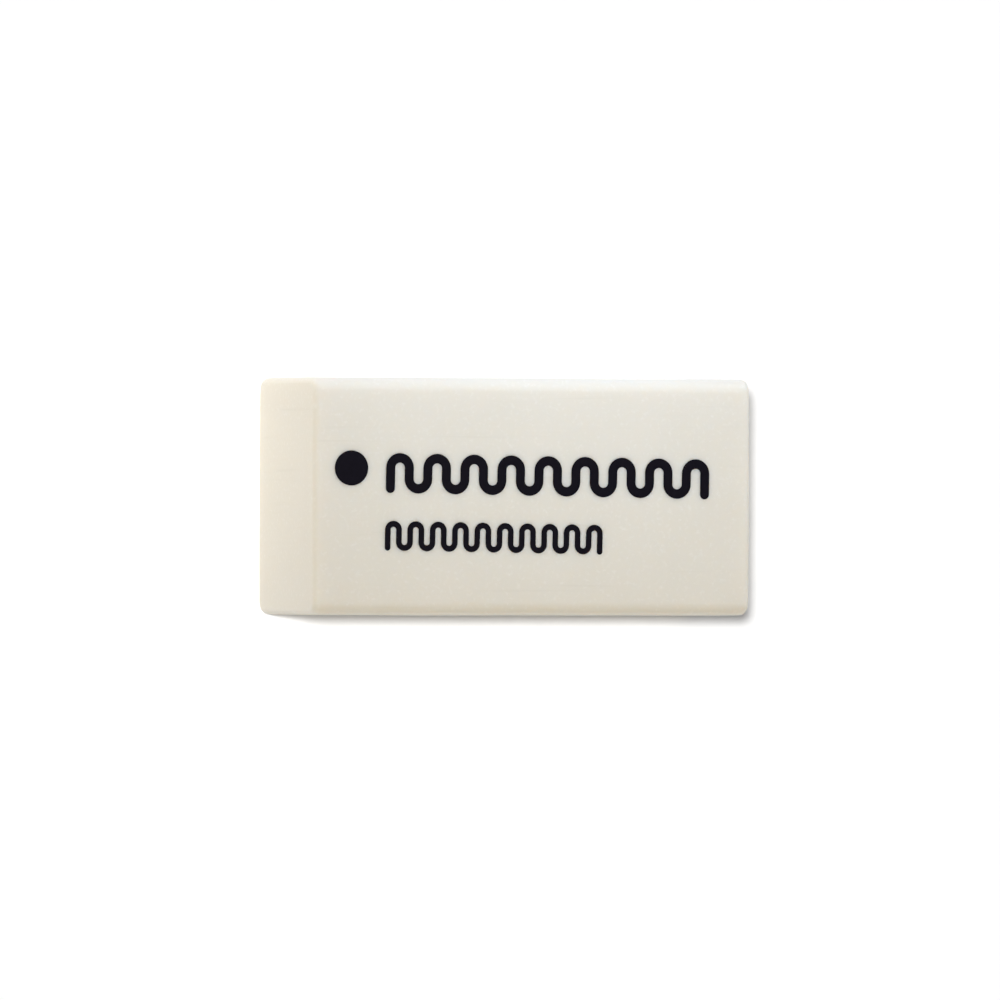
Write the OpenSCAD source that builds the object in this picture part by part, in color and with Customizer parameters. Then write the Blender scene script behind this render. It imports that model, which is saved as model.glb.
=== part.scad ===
// Small vinyl eraser: a bar of soft PVC, extruded through a die with rounded
// corners, cut to length, and tumbled so that the cut edges lose their bite.
// X runs along the bar, Y across it and Z up through its thickness. The origin
// is the middle of the flat underside, which the block rests on.

/* [Block] */
// Length between the two cut ends
block_length = 33; // [20:0.5:70]
// Width of the printed face
block_width = 17; // [10:0.5:30]
// Thickness from the underside to the printed face
block_thickness = 13; // [8:0.5:20]

/* [Edges] */
// Radius of the four long edges, which the die forms
long_edge_radius = 1; // [0.8:0.1:3]
// Radius that tumbling leaves round both cut ends
cut_edge_radius = 0.5; // [0.1:0.05:0.7]

/* [Hidden] */

// Fineness of the preview's curves
$fn = 96;

// Colour of clean, unbleached white vinyl
vinyl_colour = [0.91, 0.88, 0.82];

// A long edge's centre line lies this far from the block's middle planes
edge_y = block_width / 2 - long_edge_radius;
edge_z = block_thickness / 2 - long_edge_radius;

// A rectangle with its corners rounded, centred on the origin
module rounded_rectangle(size, radius) {
    square([size.x - 2 * radius, size.y], center = true);
    square([size.x, size.y - 2 * radius], center = true);
    for (x = [-1, 1], y = [-1, 1])
        translate([x * (size.x / 2 - radius), y * (size.y / 2 - radius)])
            circle(r = radius);
}

// The slab that carries the printed face, the underside and the middle of both ends
module face_slab() {
    rotate([90, 0, 0])
        linear_extrude(height = 2 * edge_y, center = true)
            rounded_rectangle([block_length, block_thickness], cut_edge_radius);
}

// The slab that carries the two long sides
module side_slab() {
    linear_extrude(height = 2 * edge_z, center = true)
        rounded_rectangle([block_length, block_width], cut_edge_radius);
}

// Half the section through one long edge: a bar with softened rims, to be revolved
module long_edge_section() {
    half = block_length / 2;
    square([long_edge_radius - cut_edge_radius, half]);
    square([long_edge_radius, half - cut_edge_radius]);
    translate([long_edge_radius - cut_edge_radius, half - cut_edge_radius])
        intersection() {
            circle(r = cut_edge_radius);
            square(cut_edge_radius);
        }
}

// One long edge: a round bar whose rims roll over into the cut ends
module long_edge() {
    rotate([0, 90, 0])
        rotate_extrude()
            union() {
                long_edge_section();
                mirror([0, 1]) long_edge_section();
            }
}

module eraser() {
    color(vinyl_colour)
        translate([0, 0, block_thickness / 2])
            union() {
                face_slab();
                side_slab();
                for (y = [-1, 1], z = [-1, 1])
                    translate([0, y * edge_y, z * edge_z])
                        long_edge();
            }
}

eraser();
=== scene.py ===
# Looks of a small vinyl eraser: a bar of soft PVC with a plain printed pattern,
# lying on a white table. The camera looks down on it from above its left end.
# Shapes are worked out in millimetres, and a finished mesh is in metres.

import math

import bmesh
import bpy
from mathutils import Matrix, Vector, noise


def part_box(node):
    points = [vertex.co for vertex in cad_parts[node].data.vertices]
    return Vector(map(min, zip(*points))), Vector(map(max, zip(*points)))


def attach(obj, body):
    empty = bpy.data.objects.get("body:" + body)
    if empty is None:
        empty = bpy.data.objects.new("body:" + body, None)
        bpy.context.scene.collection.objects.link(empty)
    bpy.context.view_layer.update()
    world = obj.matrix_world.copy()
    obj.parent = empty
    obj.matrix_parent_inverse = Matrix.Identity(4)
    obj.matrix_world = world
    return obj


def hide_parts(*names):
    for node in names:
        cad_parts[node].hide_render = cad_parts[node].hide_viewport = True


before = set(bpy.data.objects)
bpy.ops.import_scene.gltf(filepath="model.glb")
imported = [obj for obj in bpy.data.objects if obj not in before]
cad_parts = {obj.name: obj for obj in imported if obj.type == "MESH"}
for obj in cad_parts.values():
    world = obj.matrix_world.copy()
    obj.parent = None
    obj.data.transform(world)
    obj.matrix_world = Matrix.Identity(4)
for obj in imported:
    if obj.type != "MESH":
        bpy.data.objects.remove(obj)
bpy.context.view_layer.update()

MM = 0.001
LENGTHWISE = Vector((1, 0, 0))
ACROSS = Vector((0, 1, 0))
UP = Vector((0, 0, 1))

# Points of a mesh that are nearer to each other than this count as one
WELD_DISTANCE = 1e-4

# The block: its corners from the frame, and the radii of its long and cut edges
BLOCK_LOW, BLOCK_HIGH = (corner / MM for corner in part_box("eraser"))
LONG_EDGE_RADIUS = 1.0
CUT_EDGE_RADIUS = 0.5
LONG_EDGE_STEPS = 14
CUT_EDGE_STEPS = 8
GRID_STEP = 0.5

# Soft vinyl strays from a true block: it draws in by up to this depth, in patches,
# and its faces fall away a little towards the long edges, where the die rounds them
WANDER_DEPTH = 0.04
WANDER_LENGTH = 7.0
SHOULDER_DEPTH = 0.07
SHOULDER_WIDTH = 3.0

# The vinyl's skin: how wide its marks are along X, Y and Z, and how deep they go
PATCH_SIZE = (6, 6, 6)
TALC_SIZE = (0.3, 0.3, 0.3)
DIE_LINE_SIZE = (14, 0.4, 0.4)
KNIFE_LINE_SIZE = (4, 0.5, 12)
LINE_DEPTH = 0.008
DENT_SIZE = (1.4, 1.4, 1.4)
DENT_DEPTH = 0.006
TOOTH_SIZE = (0.22, 0.22, 0.22)
TOOTH_DEPTH = 0.004

# How far light sinks into the vinyl
LIGHT_REACH = 1.0

# The print: a film of ink, most of it in the vinyl, set a little askew on the face
INK_THICKNESS = 0.02
INK_PROUD = 0.006
INK_BLOTCH_SIZE = (0.5, 0.5, 0.5)
INK_BLOTCH_DEPTH = 0.003
PRINT_SLANT = math.radians(-0.9)

DOT_CENTRE = Vector((-13.7, 1.8, 0))
DOT_RADIUS = 1.25
DOT_STEPS = 96

BOLD_START = Vector((-11.1, 1.5, 0))
BOLD_LENGTH = 24.4
BOLD_HEIGHT = 2.86
BOLD_STROKE = 0.68
BOLD_TURNS = 17

FINE_START = Vector((-11.1, -2.97, 0))
FINE_LENGTH = 16.4
FINE_HEIGHT = 2.13
FINE_STROKE = 0.42
FINE_TURNS = 19

LEG_STEPS = 4
TURN_STEPS = 16
STROKE_END_STEPS = 14

# The camera: a long lens that looks down from a little beyond the left end
CAMERA_DISTANCE = 1200
CAMERA_LEAN = math.radians(18.7)
CAMERA_ROLL = math.radians(0.2)
FRAME_WIDTH = 71.8
FRAME_CENTRE = Vector((-0.31, -0.23, 6.5))
SENSOR_WIDTH = 36
NEAREST_SEEN = 10
FURTHEST_SEEN = 10000

# The table, and the light that it seems to give off where the eye looks at it
TABLE_HALF_SIZE = 1500
TABLE_LIFT = 0.04

# The light that the white tent throws on everything. The tent itself is seen as white
TENT_LEVEL = 0.22

# The distant lamp lights alike from any distance, so this is only where it is drawn
DISTANT_LAMP_DISTANCE = 1000


def linear(colour):
    """A colour written as sRGB hex, as the linear values that a shader takes."""
    parts = [int(colour[i : i + 2], 16) / 255 for i in (1, 3, 5)]
    return [p / 12.92 if p <= 0.04045 else ((p + 0.055) / 1.055) ** 2.4 for p in parts] + [1.0]


def add(tree, kind, inputs=None, **settings):
    """One node with its settings. Each input takes a value, or an output to link from."""
    made = tree.nodes.new(kind)
    for name, value in settings.items():
        setattr(made, name, value)
    for name, value in (inputs or {}).items():
        if isinstance(value, bpy.types.NodeSocket):
            tree.links.new(value, made.inputs[name])
        else:
            made.inputs[name].default_value = value
    return made


def new_material(name):
    """An empty material and its node tree."""
    made = bpy.data.materials.new(name)
    made.use_nodes = True
    made.node_tree.nodes.clear()
    return made, made.node_tree


def mottle(tree, size, detail=2.0):
    """Soft patches that are about size across, given in millimetres along X, Y and Z."""
    place = add(tree, "ShaderNodeTexCoord").outputs["Object"]
    scale = [1 / (s * MM) for s in size]
    scaled = add(tree, "ShaderNodeMapping", {"Vector": place, "Scale": scale}).outputs["Vector"]
    inputs = {"Vector": scaled, "Scale": 1.0, "Detail": detail, "Roughness": 0.5}
    return add(tree, "ShaderNodeTexNoise", inputs).outputs["Fac"]


def on_cut_ends(tree):
    """One on the two cut ends, and nothing on the faces that the die shaped."""
    place = add(tree, "ShaderNodeTexCoord").outputs["Object"]
    along = add(tree, "ShaderNodeSeparateXYZ", {"Vector": place}).outputs["X"]
    off_middle = add(tree, "ShaderNodeMath", {0: along}, operation="ABSOLUTE").outputs["Value"]
    end = BLOCK_HIGH.x
    inputs = {"Value": off_middle, "From Min": (end - CUT_EDGE_RADIUS) * MM, "From Max": end * MM}
    rise = add(tree, "ShaderNodeMapRange", inputs, interpolation_type="SMOOTHSTEP")
    return rise.outputs["Result"]


def drawn_lines(tree):
    """The lines that the die draws along the bar and the knife draws down its cut ends.
    They are about 0.1 mm apart on real vinyl, and are drawn wider so that they show."""
    from_die = mottle(tree, DIE_LINE_SIZE)
    from_knife = mottle(tree, KNIFE_LINE_SIZE)
    inputs = {"Factor": on_cut_ends(tree), "A": from_die, "B": from_knife}
    return add(tree, "ShaderNodeMix", inputs, data_type="FLOAT").outputs["Result"]


def vinyl_colour(tree, lines):
    """Cream white in faint patches, with specks of talc, and darker in the drawn lines.
    The talc is much finer on real vinyl, and is drawn coarser so that it shows."""
    inputs = {"Factor": mottle(tree, PATCH_SIZE), "A": linear("#e7e1d4"), "B": linear("#e3ddcf")}
    patches = add(tree, "ShaderNodeMix", inputs, data_type="RGBA").outputs["Result"]
    inputs = {"Value": mottle(tree, TALC_SIZE, detail=4.0), "From Min": 0.5, "From Max": 0.85}
    specks = add(tree, "ShaderNodeMapRange", inputs, interpolation_type="SMOOTHSTEP")
    inputs = {"Factor": specks.outputs["Result"], "A": patches, "B": linear("#ebe6db")}
    dusted = add(tree, "ShaderNodeMix", inputs, data_type="RGBA").outputs["Result"]
    inputs = {"Value": lines, "From Min": 0.6, "From Max": 0.9}
    deepest = add(tree, "ShaderNodeMapRange", inputs, interpolation_type="SMOOTHSTEP")
    inputs = {"Factor": deepest.outputs["Result"], "A": dusted, "B": linear("#dfd9cb")}
    return add(tree, "ShaderNodeMix", inputs, data_type="RGBA").outputs["Result"]


def vinyl_skin(tree, lines):
    """Shallow dents, the drawn lines over them, and a fine tooth over both."""
    dents = mottle(tree, DENT_SIZE)
    tooth = mottle(tree, TOOTH_SIZE)
    under = {}
    for height, depth in ((dents, DENT_DEPTH), (lines, LINE_DEPTH), (tooth, TOOTH_DEPTH)):
        inputs = {"Height": height, "Distance": depth * MM, "Strength": 1.0} | under
        under = {"Normal": add(tree, "ShaderNodeBump", inputs).outputs["Normal"]}
    return under["Normal"]


def extruded_vinyl():
    """Soft PVC with chalk in it, extruded, cut and dusted with talc: a dense cream
    white that light sinks a little way into, with a dry, faintly mottled skin."""
    made, tree = new_material("extruded_white_vinyl")
    lines = drawn_lines(tree)
    shader = add(
        tree, "ShaderNodeBsdfPrincipled",
        {
            "Base Color": vinyl_colour(tree, lines),
            "Roughness": 0.75,
            "IOR": 1.53,
            "Specular IOR Level": 0.25,
            "Subsurface Weight": 1.0,
            "Subsurface Radius": (1.0, 0.9, 0.8),
            "Subsurface Scale": LIGHT_REACH * MM,
            "Normal": vinyl_skin(tree, lines),
        },
    )
    add(tree, "ShaderNodeOutputMaterial", {"Surface": shader.outputs["BSDF"]})
    return made


def pad_printed_ink():
    """Pad-printed ink: a thin navy black with hardly any shine, a little uneven where
    the pad let go of it."""
    made, tree = new_material("pad_printed_navy_ink")
    blotches = mottle(tree, INK_BLOTCH_SIZE, detail=4.0)
    inputs = {"Factor": blotches, "A": linear("#09070e"), "B": linear("#141119")}
    colour = add(tree, "ShaderNodeMix", inputs, data_type="RGBA").outputs["Result"]
    inputs = {"Height": blotches, "Distance": INK_BLOTCH_DEPTH * MM, "Strength": 1.0}
    skin = add(tree, "ShaderNodeBump", inputs).outputs["Normal"]
    shader = add(
        tree, "ShaderNodeBsdfPrincipled",
        {
            "Base Color": colour,
            "Roughness": 0.5,
            "IOR": 1.5,
            "Specular IOR Level": 0.03,
            "Normal": skin,
        },
    )
    add(tree, "ShaderNodeOutputMaterial", {"Surface": shader.outputs["BSDF"]})
    return made


def seen_directly(tree):
    """One where the camera sees a thing, straight, in a gloss or through glass, and
    nothing elsewhere."""
    rays = add(tree, "ShaderNodeLightPath").outputs
    pair = {0: rays["Is Camera Ray"], 1: rays["Is Glossy Ray"]}
    in_gloss = add(tree, "ShaderNodeMath", pair, operation="MAXIMUM").outputs["Value"]
    pair = {0: in_gloss, 1: rays["Is Transmission Ray"]}
    return add(tree, "ShaderNodeMath", pair, operation="MAXIMUM").outputs["Value"]


def white_board():
    """Painted board: matt white with no shine, which the eye sees lifted a little, to
    the white of the tent behind it."""
    made, tree = new_material("matt_white_board")
    inputs = {"Factor": seen_directly(tree), "A": 0.0, "B": TABLE_LIFT}
    lift = add(tree, "ShaderNodeMix", inputs, data_type="FLOAT").outputs["Result"]
    shader = add(
        tree, "ShaderNodeBsdfPrincipled",
        {
            "Base Color": linear("#fcfcfc"),
            "Roughness": 0.9,
            "Specular IOR Level": 0.0,
            "Emission Color": (1, 1, 1, 1),
            "Emission Strength": lift,
        },
    )
    add(tree, "ShaderNodeOutputMaterial", {"Surface": shader.outputs["BSDF"]})
    return made


def piece(name, bm, finish):
    """Turns a bmesh in millimetres into an object of the scene, in metres."""
    bmesh.ops.scale(bm, vec=(MM, MM, MM), verts=bm.verts)
    mesh = bpy.data.meshes.new(name)
    bm.to_mesh(mesh)
    bm.free()
    mesh.materials.append(finish)
    made = bpy.data.objects.new(name, mesh)
    bpy.context.scene.collection.objects.link(made)
    return made


def drawn_in(point):
    """How far the vinyl draws in from a true block at a point of its skin."""
    wander = WANDER_DEPTH * (0.5 + 0.5 * noise.noise(point / WANDER_LENGTH))
    across = BLOCK_HIGH.y - abs(point.y)
    upright = BLOCK_HIGH.z / 2 - abs(point.z - BLOCK_HIGH.z / 2)
    shoulder = max(0, 1 - (across + upright) / SHOULDER_WIDTH)
    return wander + SHOULDER_DEPTH * shoulder * shoulder


def round_edges(bm, edges, radius, steps):
    """Rounds the edges to a radius, in steps."""
    bmesh.ops.bevel(
        bm, geom=edges, offset=radius, offset_type="OFFSET", affect="EDGES",
        segments=steps, profile=0.5, material=-1, clamp_overlap=False,
    )


def slice_along(bm, axis, rounding):
    """Cuts the flats across at even steps, the first and last just inside the rounding."""
    low = BLOCK_LOW.dot(axis) + rounding + GRID_STEP / 2
    high = BLOCK_HIGH.dot(axis) - rounding - GRID_STEP / 2
    cuts = round((high - low) / GRID_STEP)
    for i in range(cuts + 1):
        place = axis * (low + (high - low) * i / cuts)
        everything = bm.verts[:] + bm.edges[:] + bm.faces[:]
        bmesh.ops.bisect_plane(
            bm, geom=everything, dist=WELD_DISTANCE, plane_co=place, plane_no=axis,
        )


def vinyl_block(finish):
    """The bar: a box with die-rounded long edges and softened cut ends."""
    size = BLOCK_HIGH - BLOCK_LOW
    bm = bmesh.new()
    bmesh.ops.create_cube(bm, size=1.0)
    bmesh.ops.scale(bm, vec=size, verts=bm.verts)
    bmesh.ops.translate(bm, vec=(BLOCK_LOW + BLOCK_HIGH) / 2, verts=bm.verts)
    long_edges = [e for e in bm.edges if abs(e.verts[0].co.x - e.verts[1].co.x) > size.x / 2]
    round_edges(bm, long_edges, LONG_EDGE_RADIUS, LONG_EDGE_STEPS)
    end = BLOCK_HIGH.x - CUT_EDGE_RADIUS / 2
    cut_edges = [e for e in bm.edges if all(v.co.x > end for v in e.verts)]
    cut_edges += [e for e in bm.edges if all(v.co.x < -end for v in e.verts)]
    round_edges(bm, cut_edges, CUT_EDGE_RADIUS, CUT_EDGE_STEPS)
    slice_along(bm, LENGTHWISE, CUT_EDGE_RADIUS)
    slice_along(bm, ACROSS, LONG_EDGE_RADIUS)
    slice_along(bm, UP, LONG_EDGE_RADIUS)
    bmesh.ops.recalc_face_normals(bm, faces=bm.faces)
    bm.normal_update()
    # The skin moves in along its normals, except that the underside stays on the table
    moves = [v.normal * drawn_in(v.co) * min(1, 1 + v.normal.z) for v in bm.verts]
    for vertex, move in zip(bm.verts, moves):
        vertex.co -= move
    for face in bm.faces:
        face.smooth = True
    return piece("vinyl_block", bm, finish)


def ink_film(name, bm, finish):
    """Thickens a flat drawing into a film of ink and lays it on the block's face."""
    bmesh.ops.remove_doubles(bm, verts=bm.verts, dist=WELD_DISTANCE)
    raised = bmesh.ops.extrude_face_region(bm, geom=bm.faces[:])["geom"]
    top = [g for g in raised if isinstance(g, bmesh.types.BMVert)]
    bmesh.ops.translate(bm, vec=UP * INK_THICKNESS, verts=top)
    bmesh.ops.recalc_face_normals(bm, faces=bm.faces)
    turn = Matrix.Rotation(PRINT_SLANT, 3, "Z")
    bmesh.ops.rotate(bm, cent=(0, 0, 0), matrix=turn, verts=bm.verts)
    for vertex in bm.verts:
        face_point = Vector((vertex.co.x, vertex.co.y, BLOCK_HIGH.z))
        vertex.co.z += BLOCK_HIGH.z - drawn_in(face_point) + INK_PROUD - INK_THICKNESS
    return piece(name, bm, finish)


def printed_dot(finish):
    """A round dot of ink at the left of the print."""
    bm = bmesh.new()
    bmesh.ops.create_circle(
        bm, cap_ends=True, cap_tris=True, segments=DOT_STEPS, radius=DOT_RADIUS,
    )
    bmesh.ops.translate(bm, vec=DOT_CENTRE, verts=bm.verts)
    return ink_film("printed_dot", bm, finish)


def sweep(bm, section, steps, centre=(0, 0, 0), angle=0.0, along=(0, 0, 0)):
    """Draws a section round a centre or along a line. Returns where it ends."""
    pace = Vector(along) / steps
    swept = bmesh.ops.spin(
        bm, geom=section, cent=centre, axis=UP, dvec=pace, angle=angle, steps=steps,
    )
    return swept["geom_last"]


def round_end(bm, section, angle):
    """Closes a stroke with a half disc, spun from half of its section."""
    edges = [g for g in section if isinstance(g, bmesh.types.BMEdge)]
    middle = next(v for v in edges[0].verts if v in edges[1].verts)
    outer = edges[0].other_vert(middle)
    half = [edges[0], middle, outer]
    sweep(bm, half, STROKE_END_STEPS, centre=middle.co.copy(), angle=angle)


def printed_wave(name, start, length, height, stroke, turns, finish):
    """A line of even stroke that runs up and down in round turns, with round ends.
    Between two turns it has a straight leg. The first and last legs are longer."""
    radius = (length - stroke) / turns / 2
    reach = (height - stroke) / 2
    leg = reach - radius
    bm = bmesh.new()
    verts = [bm.verts.new(start + Vector((x, -reach, 0))) for x in (0, stroke / 2, stroke)]
    edges = [bm.edges.new(verts[:2]), bm.edges.new(verts[1:])]
    section = edges + verts
    round_end(bm, section, math.pi)
    way = 1
    for turn in range(turns):
        rise = leg + (reach if turn == 0 else leg)
        section = sweep(bm, section, LEG_STEPS, along=(0, way * rise, 0))
        centre = start + Vector((stroke / 2 + radius * (2 * turn + 1), way * leg, 0))
        section = sweep(bm, section, TURN_STEPS, centre=centre, angle=-way * math.pi)
        way = -way
    section = sweep(bm, section, LEG_STEPS, along=(0, way * (leg + reach), 0))
    round_end(bm, section, -math.pi)
    return ink_film(name, bm, finish)


def floor():
    """The white table top, with the white tent beyond its edge."""
    bm = bmesh.new()
    bmesh.ops.create_grid(bm, x_segments=1, y_segments=1, size=TABLE_HALF_SIZE)
    made = piece("table_top", bm, white_board())
    return made


def aimed(name, data, place, target):
    """Puts a camera or a lamp at a place, looking at a target, with its top towards +Y.
    It has no top when it looks straight along Y, so nothing here looks quite that way."""
    made = bpy.data.objects.new(name, data)
    bpy.context.scene.collection.objects.link(made)
    back = (place - target).normalized()
    right = ACROSS.cross(back).normalized()
    top = back.cross(right)
    turn = Matrix((right, top, back)).transposed().to_4x4()
    made.matrix_world = Matrix.Translation(place * MM) @ turn
    return made


def camera():
    """The camera, at the angle and with the frame of the photograph."""
    data = bpy.data.cameras.new("camera")
    data.sensor_width = SENSOR_WIDTH
    data.lens = SENSOR_WIDTH * CAMERA_DISTANCE / FRAME_WIDTH
    data.clip_start = NEAREST_SEEN * MM
    data.clip_end = FURTHEST_SEEN * MM
    towards = Vector((-math.sin(CAMERA_LEAN), 0, math.cos(CAMERA_LEAN)))
    made = aimed("camera", data, FRAME_CENTRE + towards * CAMERA_DISTANCE, FRAME_CENTRE)
    made.matrix_world = made.matrix_world @ Matrix.Rotation(CAMERA_ROLL, 4, "Z")
    bpy.context.scene.camera = made


def lamp(name, lit, direction, distance, size, level, colour, through_table=False):
    """A round soft box that lights some pieces alone, in a direction and at a distance
    from the block's middle. From far off, a level of 1 lights a white face to white."""
    data = bpy.data.lights.new(name, "AREA")
    data.shape = "DISK"
    data.size = size * MM
    data.energy = level * (math.pi * distance * MM) ** 2
    data.color = linear(colour)[:3]
    target = Vector((0, 0, BLOCK_HIGH.z / 2))
    made = aimed(name, data, target + Vector(direction).normalized() * distance, target)
    made.visible_camera = False
    made.light_linking.receiver_collection = lit
    if through_table:
        made.light_linking.blocker_collection = lit


def distant_lamp(name, lit, direction, spread, level):
    """A white soft box so far off that it lights the whole table alike."""
    data = bpy.data.lights.new(name, "SUN")
    data.angle = spread
    data.energy = level * math.pi
    made = aimed(name, data, Vector(direction) * DISTANT_LAMP_DISTANCE, Vector())
    made.light_linking.receiver_collection = lit


def collection_of(name, members):
    """A collection that a lamp can be told to light."""
    made = bpy.data.collections.new(name)
    for member in members:
        made.objects.link(member)
    return made


def lights(pieces, table):
    """A white tent lights everything. One lamp lights the table alone, for the narrow
    shadow. The others light the block alone, so that they throw no shadow on the table.
    Three of them are low cards, which stand for the light that comes off the table, so
    the table doesn't stop their light where they reach under it."""
    on_table = collection_of("lit_table", [table])
    distant_lamp(
        "table_lamp", on_table, direction=(-0.374, 0.052, 1), spread=math.radians(4.4), level=0.83,
    )
    on_object = collection_of("lit_object", pieces)
    lamp(
        "ceiling_lamp", on_object, direction=(-0.12, 0.06, 1),
        distance=400, size=300, level=0.545, colour="#fff7e6",
    )
    lamp(
        "window_lamp", on_object, direction=(0.15, 1, 1.1),
        distance=60, size=42, level=0.605, colour="#cbdfff",
    )
    lamp(
        "left_card", on_object, direction=(-1, 0.45, -0.3), through_table=True,
        distance=60, size=28, level=0.235, colour="#fffaf2",
    )
    lamp(
        "right_card", on_object, direction=(1, 0, -0.5), through_table=True,
        distance=45, size=20, level=0.17, colour="#ffffff",
    )
    lamp(
        "front_card", on_object, direction=(0, -1, -0.05), through_table=True,
        distance=60, size=28, level=0.09, colour="#fff6e6",
    )
    world = bpy.data.worlds.new("white_studio")
    bpy.context.scene.world = world
    world.use_nodes = True
    tree = world.node_tree
    tree.nodes.clear()
    inputs = {"Factor": seen_directly(tree), "A": TENT_LEVEL, "B": 1.0}
    strength = add(tree, "ShaderNodeMix", inputs, data_type="FLOAT").outputs["Result"]
    inputs = {"Color": (1, 1, 1, 1), "Strength": strength}
    background = add(tree, "ShaderNodeBackground", inputs)
    add(tree, "ShaderNodeOutputWorld", {"Surface": background.outputs["Background"]})


vinyl = extruded_vinyl()
ink = pad_printed_ink()

block = vinyl_block(vinyl)
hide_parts("eraser")
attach(block, "root")

prints = [
    printed_dot(ink),
    printed_wave(
        "printed_bold_wave", BOLD_START, BOLD_LENGTH, BOLD_HEIGHT, BOLD_STROKE, BOLD_TURNS, ink,
    ),
    printed_wave(
        "printed_fine_wave", FINE_START, FINE_LENGTH, FINE_HEIGHT, FINE_STROKE, FINE_TURNS, ink,
    ),
]
for printed in prints:
    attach(printed, "root")

table = floor()
camera()
lights([block] + prints, table)
bpy.context.scene.view_settings.view_transform = "Standard"
